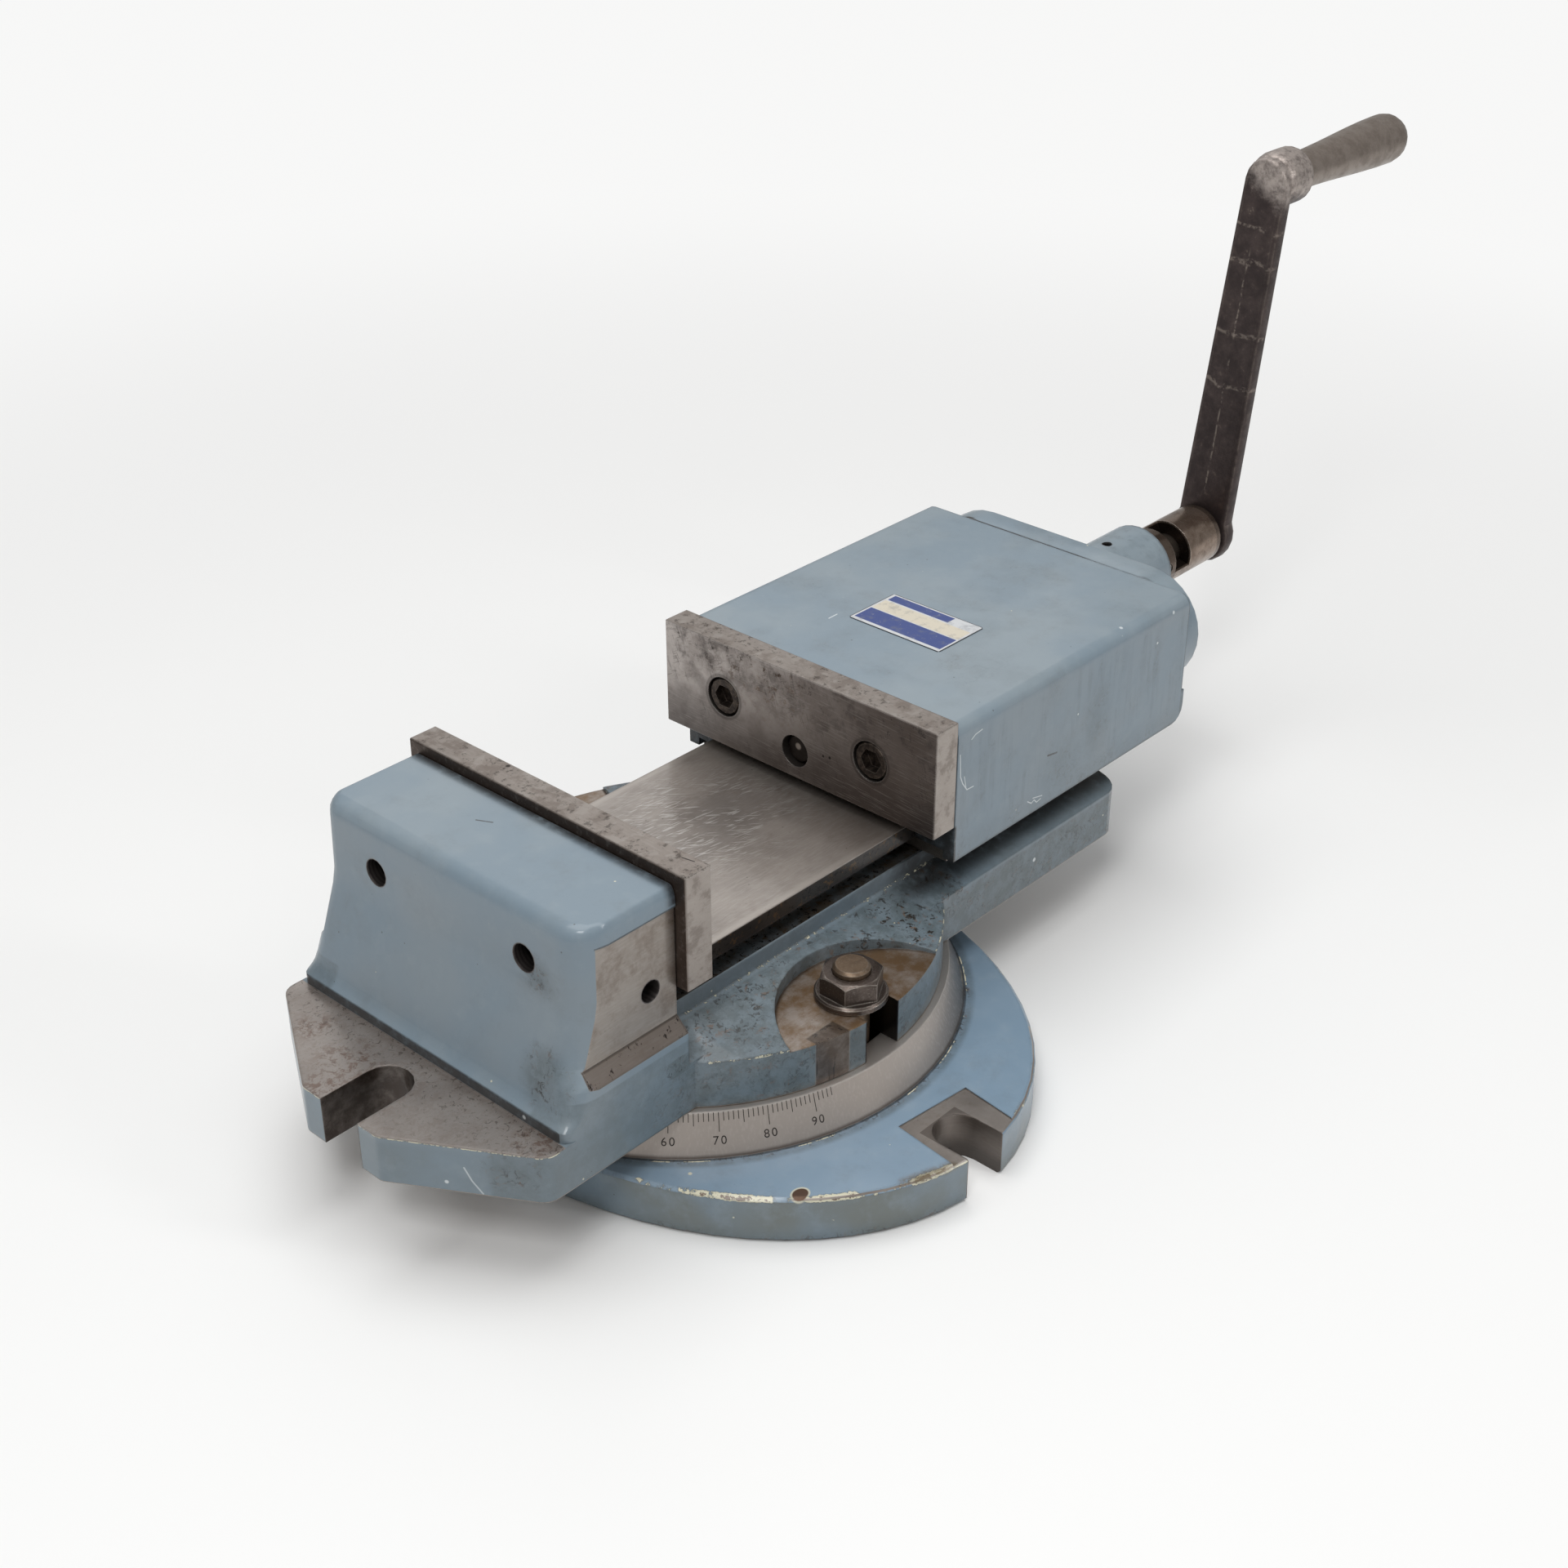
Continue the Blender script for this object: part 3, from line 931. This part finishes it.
def keepers(material, screw_material, pivot):
    """Strips under the moving jaw that reach below the lips of the bed, held by countersunk screws."""
    front = MOVING_JAW_FRONT_X + KEEPER_FRONT_SETBACK
    for side, tag in ((-1, "near"), (1, "far")):
        ends = sorted((side * KEEPER_INNER_Y, side * KEEPER_OUTER_Y))
        strip = box("keeper_" + tag, (front, ends[0], KEEPER_BOTTOM_Z), (front + KEEPER_LENGTH, ends[1], KEEPER_TOP_Z))
        for number, x in enumerate(keeper_screw_places(), 1):
            name = f"keeper_screw_{tag}_{number}"
            y = side * KEEPER_SCREW_Y
            low = KEEPER_BOTTOM_Z + FIT
            past = 0.002
            cone_run = KEEPER_SCREW_HEAD_RADIUS - KEEPER_SCREW_RADIUS
            hole = KEEPER_SCREW_RADIUS + FIT
            wide = KEEPER_SCREW_HEAD_RADIUS + FIT * sqrt(2)
            above = KEEPER_TOP_Z - low + past
            cut(strip, turned(name + "_hole", [(0, above), (hole, above), (hole, wide - hole), (wide, 0),
                                               (wide, -past), (0, -past)], (x, y, low), "Z", 12, cutters))
            body = [(0, KEEPER_SCREW_LENGTH), (KEEPER_SCREW_RADIUS, KEEPER_SCREW_LENGTH),
                    (KEEPER_SCREW_RADIUS, cone_run), (KEEPER_SCREW_HEAD_RADIUS, 0), (0, 0)]
            screw = turned(name, body, (x, y, low), "Z", 12)
            cut(screw, socket_tool(name + "_socket", KEEPER_SOCKET_FLATS, KEEPER_SOCKET_DEPTH, (x, y, low), "-Z"))
            finish_piece(screw, screw_material, pivot, radians(30))
        finish_piece(strip, material, pivot)


def screw_housing(material, screw_material, pivot):
    """Flange with round ends and a flat bottom, bolted to the jaw, and the long boss that carries the screw."""
    near = (-FLANGE_CENTRE_Y, FLANGE_CENTRE_Z)
    far = (FLANGE_CENTRE_Y, FLANGE_CENTRE_Z)
    dip = asin((FLANGE_CENTRE_Z - FLANGE_BOTTOM_Z) / FLANGE_END_RADIUS)
    outline = arc(far, FLANGE_END_RADIUS, -dip, pi / 2, 12) + arc(near, FLANGE_END_RADIUS, pi / 2, pi + dip, 12)
    housing = prism("screw_housing", outline, "YZ", FLANGE_FRONT_X, FLANGE_REAR_X)
    bevel(housing, FLANGE_EDGE, 2)
    root = FLANGE_THICKNESS * 0.6
    profile = [(0, BOSS_LENGTH + root), (BOSS_RADIUS - BOSS_EDGE, BOSS_LENGTH + root),
               (BOSS_RADIUS, BOSS_LENGTH + root - BOSS_EDGE)]
    profile += [(BOSS_RADIUS + BOSS_ROOT * (1 - sin(angle)), root + BOSS_ROOT * (1 - cos(angle)))
                for angle in (pi / 2, pi / 3, pi / 6, 0)]
    profile += [(BOSS_RADIUS + BOSS_ROOT, 0), (0, 0)]
    join(housing, turned("screw_boss", profile, (FLANGE_REAR_X - root, 0, SCREW_Z), "X", 32))
    past = 0.005
    side = BOSS_RADIUS + BOSS_ROOT + past
    cut(housing, box("boss_flat", (FLANGE_FRONT_X - past, -side, SCREW_Z - side),
                     (BOSS_END_X + past, side, FLANGE_BOTTOM_Z), cutters))
    cut(housing, cylinder("bearing_chamber", BEARING_CHAMBER_RADIUS, (FLANGE_FRONT_X - 0.005, 0, SCREW_Z),
                          CHAMBER_END_X - FLANGE_FRONT_X + 0.005, "X", ROUND_STEPS, cutters))
    cut(housing, cylinder("bush_bore", REAR_JOURNAL_RADIUS + FIT + BUSH_WALL + FIT,
                          (CHAMBER_END_X - 0.002, 0, SCREW_Z), BOSS_LENGTH + 0.02, "X", ROUND_STEPS, cutters))
    oil_x = FLANGE_REAR_X + OIL_HOLE_FROM_FLANGE
    cut(housing, cylinder("oil_hole", OIL_HOLE_RADIUS, (oil_x, 0, SCREW_Z + REAR_JOURNAL_RADIUS), 0.02, "Z", 16,
                          cutters))
    number = 0
    for side in (-1, 1):
        for sign in (-1, 1):
            number += 1
            y = side * HOUSING_SCREW_Y
            z = FLANGE_CENTRE_Z + sign * HOUSING_SCREW_RISE
            seat = FLANGE_REAR_X - HOUSING_SCREW_HEAD_HEIGHT - 0.0004
            cut(housing, cylinder(f"housing_seat_{number}", HOUSING_SCREW_HEAD_RADIUS + 2 * FIT, (seat - FIT, y, z),
                                  0.02, "X", 18, cutters))
            cut(housing, cylinder(f"housing_hole_{number}", HOUSING_SCREW_RADIUS + FIT,
                                  (FLANGE_FRONT_X - 0.003, y, z), FLANGE_THICKNESS, "X", SMALL_STEPS, cutters))
            screw = cap_screw(f"housing_screw_{number}", (seat, y, z), "X", HOUSING_SCREW_HEAD_RADIUS,
                              HOUSING_SCREW_HEAD_HEIGHT, HOUSING_SCREW_RADIUS, HOUSING_SCREW_LENGTH,
                              HOUSING_SOCKET_FLATS, HOUSING_SOCKET_DEPTH)
            finish_piece(screw, screw_material, pivot, radians(30))
    finish_piece(housing, material, pivot, radians(30))


def ring(name, outer, inner, start_x, length, material, pivot, steps=ROUND_STEPS, chamfer=0.0):
    """A plain turned ring on the screw axis, its outer edges broken if a chamfer is given."""
    if chamfer:
        side = [(outer - chamfer, length), (outer, length - chamfer), (outer, chamfer), (outer - chamfer, 0)]
    else:
        side = [(outer, length), (outer, 0)]
    profile = side + [(inner, 0), (inner, length)]
    obj = turned(name, profile, (start_x, 0, SCREW_Z), "X", steps, ring=True)
    if material is not None:
        finish_piece(obj, material, pivot, radians(30))
    return obj


def bearing_pieces(bronze, steel, pivot):
    """Retaining ring, thrust washers and bush that hold the lead screw in its housing."""
    outer = BEARING_CHAMBER_RADIUS - FIT
    retainer = ring("retaining_ring", outer, THREAD_RADIUS + 2 * FIT, RETAINER_FRONT_X, RETAINER_THICKNESS,
                    None, pivot, 24)
    spanner_radius = (outer + THREAD_RADIUS) / 2
    for side, tag in ((-1, "near"), (1, "far")):
        cut(retainer, cylinder("spanner_hole_" + tag, RETAINER_SPANNER_RADIUS,
                               (RETAINER_FRONT_X - 0.002, side * spanner_radius, SCREW_Z), 0.005, "X", 12, cutters))
    finish_piece(retainer, steel, pivot, radians(30))
    ring("thrust_washer_front", outer, THREAD_RADIUS + 2 * FIT, FRONT_WASHER_X, THRUST_WASHER_THICKNESS, bronze, pivot,
         24)
    ring("thrust_washer_rear", outer, REAR_JOURNAL_RADIUS + FIT, REAR_WASHER_X, THRUST_WASHER_THICKNESS, bronze,
         pivot, 24)
    bush_start = CHAMBER_END_X + FIT
    bush = ring("screw_bush", REAR_JOURNAL_RADIUS + FIT + BUSH_WALL, REAR_JOURNAL_RADIUS + FIT, bush_start,
                BOSS_END_X - BUSH_RECESS - bush_start, None, pivot)
    oil_x = FLANGE_REAR_X + OIL_HOLE_FROM_FLANGE
    cut(bush, cylinder("bush_oil_hole", OIL_HOLE_RADIUS, (oil_x, 0, SCREW_Z + STEM_RADIUS), 0.01, "Z", 16, cutters))
    finish_piece(bush, bronze, pivot, radians(30))


# Pieces that turn with the screw
def lead_screw(material, pivot):
    start = MOVING_PLATE_FACE_X + FRONT_JOURNAL_SETBACK
    thread_start = CAVITY_FRONT_X + 2 * FIT
    end = BOSS_END_X + STEM_REACH
    chamfer = 0.0015
    stations = [(0, end), (STEM_RADIUS - chamfer, end), (STEM_RADIUS, end - chamfer), (STEM_RADIUS, BOSS_END_X),
                (REAR_JOURNAL_RADIUS, BOSS_END_X), (REAR_JOURNAL_RADIUS, COLLAR_FRONT_X + COLLAR_THICKNESS),
                (COLLAR_RADIUS, COLLAR_FRONT_X + COLLAR_THICKNESS), (COLLAR_RADIUS, COLLAR_FRONT_X),
                (THREAD_RADIUS, COLLAR_FRONT_X), (THREAD_RADIUS, thread_start + chamfer),
                (THREAD_RADIUS - chamfer, thread_start), (FRONT_JOURNAL_RADIUS, thread_start),
                (FRONT_JOURNAL_RADIUS, start + chamfer / 2), (FRONT_JOURNAL_RADIUS - chamfer / 2, start), (0, start)]
    screw = turned("lead_screw", [(radius, x - start) for radius, x in stations], (start, 0, SCREW_Z), "X", 24)
    cut(screw, coupling_pin_hole("screw_pin_hole"))
    finish_piece(screw, material, pivot, radians(30))


def coupling_pin_hole(name):
    """Cutter for the hole that the coupling's pin goes through."""
    reach = 2 * COUPLING_RADIUS
    return cylinder(name, COUPLING_PIN_RADIUS + FIT, (COUPLING_X + COUPLING_RING / 2, -reach, SCREW_Z), 2 * reach,
                    "Y", 16, cutters)


def claw_windows(prefix, start_x, length, claw_angle, count=2):
    """Wedges that are cut away between the claws of a ring; claw_angle is where the first claw begins."""
    tools = []
    for i in range(count):
        first = claw_angle + CLAW_SPAN + 2 * pi * i / count
        last = claw_angle + 2 * pi * (i + 1) / count
        tool = prism(f"{prefix}_window_{i + 1}", sector_outline(first, last, COUPLING_RADIUS * 1.8, 12), "YZ",
                     start_x, start_x + length, cutters)
        tool.matrix_world = Matrix.Translation((0, 0, SCREW_Z)) @ tool.matrix_world
        tools.append(tool)
    return tools


def claw_coupling(material, pin_material, pivot):
    """Claw ring pinned to the screw, which the crank's sleeve engages."""
    coupling = ring("claw_coupling", COUPLING_RADIUS, STEM_RADIUS + FIT, COUPLING_X, CLAW_TIP_X - COUPLING_X - FIT,
                    None, pivot, ROUND_STEPS, 0.0005)
    cut(coupling, *claw_windows("coupling", CLAW_ROOT_X, CLAW_LENGTH + 0.005, CLAW_START))
    cut(coupling, coupling_pin_hole("coupling_pin_hole"))
    finish_piece(coupling, material, pivot, radians(30))
    half = COUPLING_RADIUS - 0.0006
    pin = cylinder("coupling_pin", COUPLING_PIN_RADIUS, (COUPLING_X + COUPLING_RING / 2, -half, SCREW_Z), 2 * half,
                   "Y", 16)
    finish_piece(pin, pin_material, pivot, radians(30))


def crank_sleeve(material, pivot):
    """Sleeve on the stem of the screw, with claws in front and a spigot for the arm behind."""
    length = ARM_FRONT_X + ARM_THICKNESS - SLEEVE_X
    body = SLEEVE_LENGTH
    bore = STEM_RADIUS + FIT
    neck_end = body + SLEEVE_NECK_LENGTH
    profile = [(SLEEVE_SPIGOT_RADIUS - 0.0006, length), (SLEEVE_SPIGOT_RADIUS, length - 0.0006),
               (SLEEVE_SPIGOT_RADIUS, neck_end - FIT), (SLEEVE_NECK_RADIUS, neck_end - FIT),
               (SLEEVE_NECK_RADIUS, body), (SLEEVE_RADIUS - SLEEVE_CHAMFER, body),
               (SLEEVE_RADIUS, body - SLEEVE_CHAMFER), (SLEEVE_RADIUS, SLEEVE_CHAMFER),
               (SLEEVE_RADIUS - SLEEVE_CHAMFER, 0), (bore, 0), (bore, length)]
    sleeve = turned("crank_sleeve", profile, (SLEEVE_X, 0, SCREW_Z), "X", ROUND_STEPS, ring=True)
    cut(sleeve, *claw_windows("sleeve", SLEEVE_X - 0.005, CLAW_LENGTH + 0.005, CLAW_START + CLAW_SPAN + CLAW_PLAY))
    finish_piece(sleeve, material, pivot, radians(30))


def arm_outline():
    """Outline of the arm around its foot at the origin: straight sides from a round head into a wider round foot."""
    tilt = acos((ARM_FOOT_WAIST - ARM_HEAD_RADIUS) / ARM_LENGTH)
    rise = acos(ARM_FOOT_WAIST / ARM_FOOT_RADIUS)
    head = arc((0, ARM_LENGTH), ARM_HEAD_RADIUS, pi / 2 - tilt, pi / 2 + tilt, 9)
    foot = arc((0, 0), ARM_FOOT_RADIUS, pi / 2 + tilt - rise, 5 * pi / 2 - tilt + rise, 14)
    return head + foot


def crank_arm(material, pivot):
    """Tapered arm with a round foot on the sleeve and a domed knuckle for the grip pin."""
    arm = prism("crank_arm", arm_outline(), "YZ", 0, ARM_THICKNESS)
    arm.matrix_world = (Matrix.Translation((ARM_FRONT_X, 0, SCREW_Z)) @ Matrix.Rotation(ARM_LEAN, 4, "X")
                        @ arm.matrix_world)
    bevel(arm, ARM_EDGE, 2)
    lip_radius = KNUCKLE_RADIUS - KNUCKLE_LIP * 0.6
    dome = [(KNUCKLE_RADIUS * cos(angle), KNUCKLE_DOME * (1 - sin(angle))) for angle in
            [pi / 2 * i / 4 for i in range(5)]]
    profile = [(0, KNUCKLE_LENGTH), (lip_radius - 0.0006, KNUCKLE_LENGTH), (lip_radius, KNUCKLE_LENGTH - 0.0006),
               (lip_radius, KNUCKLE_LENGTH - KNUCKLE_LIP), (KNUCKLE_RADIUS - 0.0008, KNUCKLE_LENGTH - KNUCKLE_LIP),
               (KNUCKLE_RADIUS, KNUCKLE_LENGTH - KNUCKLE_LIP - 0.0008)] + dome[:-1] + [(0, 0)]
    join(arm, turned("knuckle", profile, (ARM_FRONT_X, GRIP_Y, GRIP_Z), "X", 22))
    cut(arm, cylinder("spigot_hole", SLEEVE_SPIGOT_RADIUS + FIT, (ARM_FRONT_X - 0.005, 0, SCREW_Z),
                      ARM_THICKNESS + 0.01, "X", ROUND_STEPS, cutters))
    cut(arm, cylinder("grip_pin_hole", GRIP_PIN_RADIUS + FIT,
                      (KNUCKLE_END_X - GRIP_PIN_SEAT - FIT, GRIP_Y, GRIP_Z), GRIP_PIN_SEAT + 0.01, "X", SMALL_STEPS,
                      cutters))
    finish_piece(arm, material, pivot, radians(35))


def grip_pin(material, pivot):
    start = KNUCKLE_END_X - GRIP_PIN_SEAT
    length = GRIP_PIN_SEAT + GRIP_PIN_REACH
    chamfer = 0.0008
    pin = turned("grip_pin", [(0, length), (GRIP_PIN_RADIUS - chamfer, length), (GRIP_PIN_RADIUS, length - chamfer),
                              (GRIP_PIN_RADIUS, 0), (0, 0)], (start, GRIP_Y, GRIP_Z), "X", SMALL_STEPS)
    finish_piece(pin, material, pivot, radians(30))


def grip_radius(share):
    """Radius of the grip along its length: a slim neck that swells towards the end."""
    blend = share * share * (3 - 2 * share)
    return GRIP_NECK_RADIUS + (GRIP_HEAD_RADIUS - GRIP_NECK_RADIUS) * blend


def crank_grip(material, pivot):
    """Revolving grip with a blind bore for its pin."""
    swell = GRIP_LENGTH - GRIP_HEAD_RADIUS * 1.05
    side = [(grip_radius(i / 6), swell * i / 6) for i in range(7)]
    cap = [(GRIP_HEAD_RADIUS * cos(pi / 2 * i / 5), swell + GRIP_HEAD_RADIUS * 1.05 * sin(pi / 2 * i / 5))
           for i in range(1, 5)]
    outer = [(0, GRIP_LENGTH)] + list(reversed(cap)) + list(reversed(side))
    outer[-1] = (GRIP_NECK_RADIUS - 0.0008, 0)
    outer.insert(-1, (GRIP_NECK_RADIUS, 0.0008))
    bore = GRIP_PIN_RADIUS + FIT
    grip = turned("crank_grip", outer + [(bore, 0), (bore, GRIP_PIN_REACH + 0.003), (0, GRIP_PIN_REACH + 0.003)],
                  (GRIP_X, GRIP_Y, GRIP_Z), "X", 22)
    finish_piece(grip, material, pivot, radians(30))


def build():
    painted = {name: make_material(name, PAINT, PAINT_ROUGHNESS, 0.0)
               for name in ("base_paint", "body_paint", "moving_jaw_paint", "housing_paint")}
    ground = {name: make_material(name, (0.330, 0.305, 0.285), 0.38, 0.85)
              for name in ("fixed_plate_steel", "moving_plate_steel")}
    dark = (0.060, 0.050, 0.045)
    pin_steel = make_material("pivot_steel", (0.40, 0.39, 0.38), 0.35, 1.0)
    screw_steel = make_material("black_screw_steel", dark, 0.45, 0.8)
    bolt_steel = make_material("bolt_steel", (0.42, 0.37, 0.31), 0.4, 0.9)
    nut_steel = make_material("nut_steel", (0.16, 0.14, 0.13), 0.35, 0.9)
    keeper_steel = make_material("keeper_steel", (0.20, 0.18, 0.17), 0.45, 0.9)
    bronze = make_material("bronze", (0.48, 0.29, 0.12), 0.35, 1.0)
    spindle_steel = make_material("spindle_steel", (0.33, 0.30, 0.27), 0.35, 0.9)
    sleeve_steel = make_material("sleeve_steel", (0.19, 0.16, 0.135), 0.38, 0.85)
    arm_steel = make_material("arm_steel", (0.050, 0.042, 0.038), 0.42, 0.75)
    grip_steel = make_material("grip_steel", (0.17, 0.155, 0.14), 0.4, 0.8)

    ground_pivot = make_pivot("base_frame", (0, 0, 0))
    swivel = make_pivot("swivel_axis", (0, 0, RING_TOP_Z), ground_pivot)
    slide = make_pivot("jaw_slide", (MOVING_PLATE_FACE_X, 0, SLIDE_Z), swivel)
    spindle = make_pivot("screw_axis", (BOSS_END_X, 0, SCREW_Z), slide)
    grip = make_pivot("grip_axis", (GRIP_X, GRIP_Y, GRIP_Z), spindle)

    swivel_base(painted["base_paint"], ground_pivot)
    centre_pivot(pin_steel, ground_pivot)

    vise_body(painted["body_paint"], swivel)
    jaw_plate("fixed_jaw_plate", FIXED_PLATE_BACK_X, 1, ground["fixed_plate_steel"], swivel)
    plate_screws("fixed_plate_screw", FIXED_PLATE_FACE_X, 1, PLATE_SCREW_LENGTH, screw_steel, swivel)
    clamp_bolts(bolt_steel, nut_steel, swivel)
    screw_nut(bronze, screw_steel, swivel)

    moving_jaw(painted["moving_jaw_paint"], slide)
    jaw_plate("moving_jaw_plate", MOVING_PLATE_BACK_X, -1, ground["moving_plate_steel"], slide, True)
    plate_screws("moving_plate_screw", MOVING_PLATE_FACE_X, -1, MOVING_PLATE_SCREW_LENGTH, screw_steel, slide)
    keepers(keeper_steel, screw_steel, slide)
    screw_housing(painted["housing_paint"], screw_steel, slide)
    bearing_pieces(bronze, keeper_steel, slide)

    lead_screw(spindle_steel, spindle)
    claw_coupling(sleeve_steel, pin_steel, spindle)
    crank_sleeve(sleeve_steel, spindle)
    crank_arm(arm_steel, spindle)
    grip_pin(pin_steel, spindle)
    crank_grip(grip_steel, grip)
    bpy.context.view_layer.update()


build()
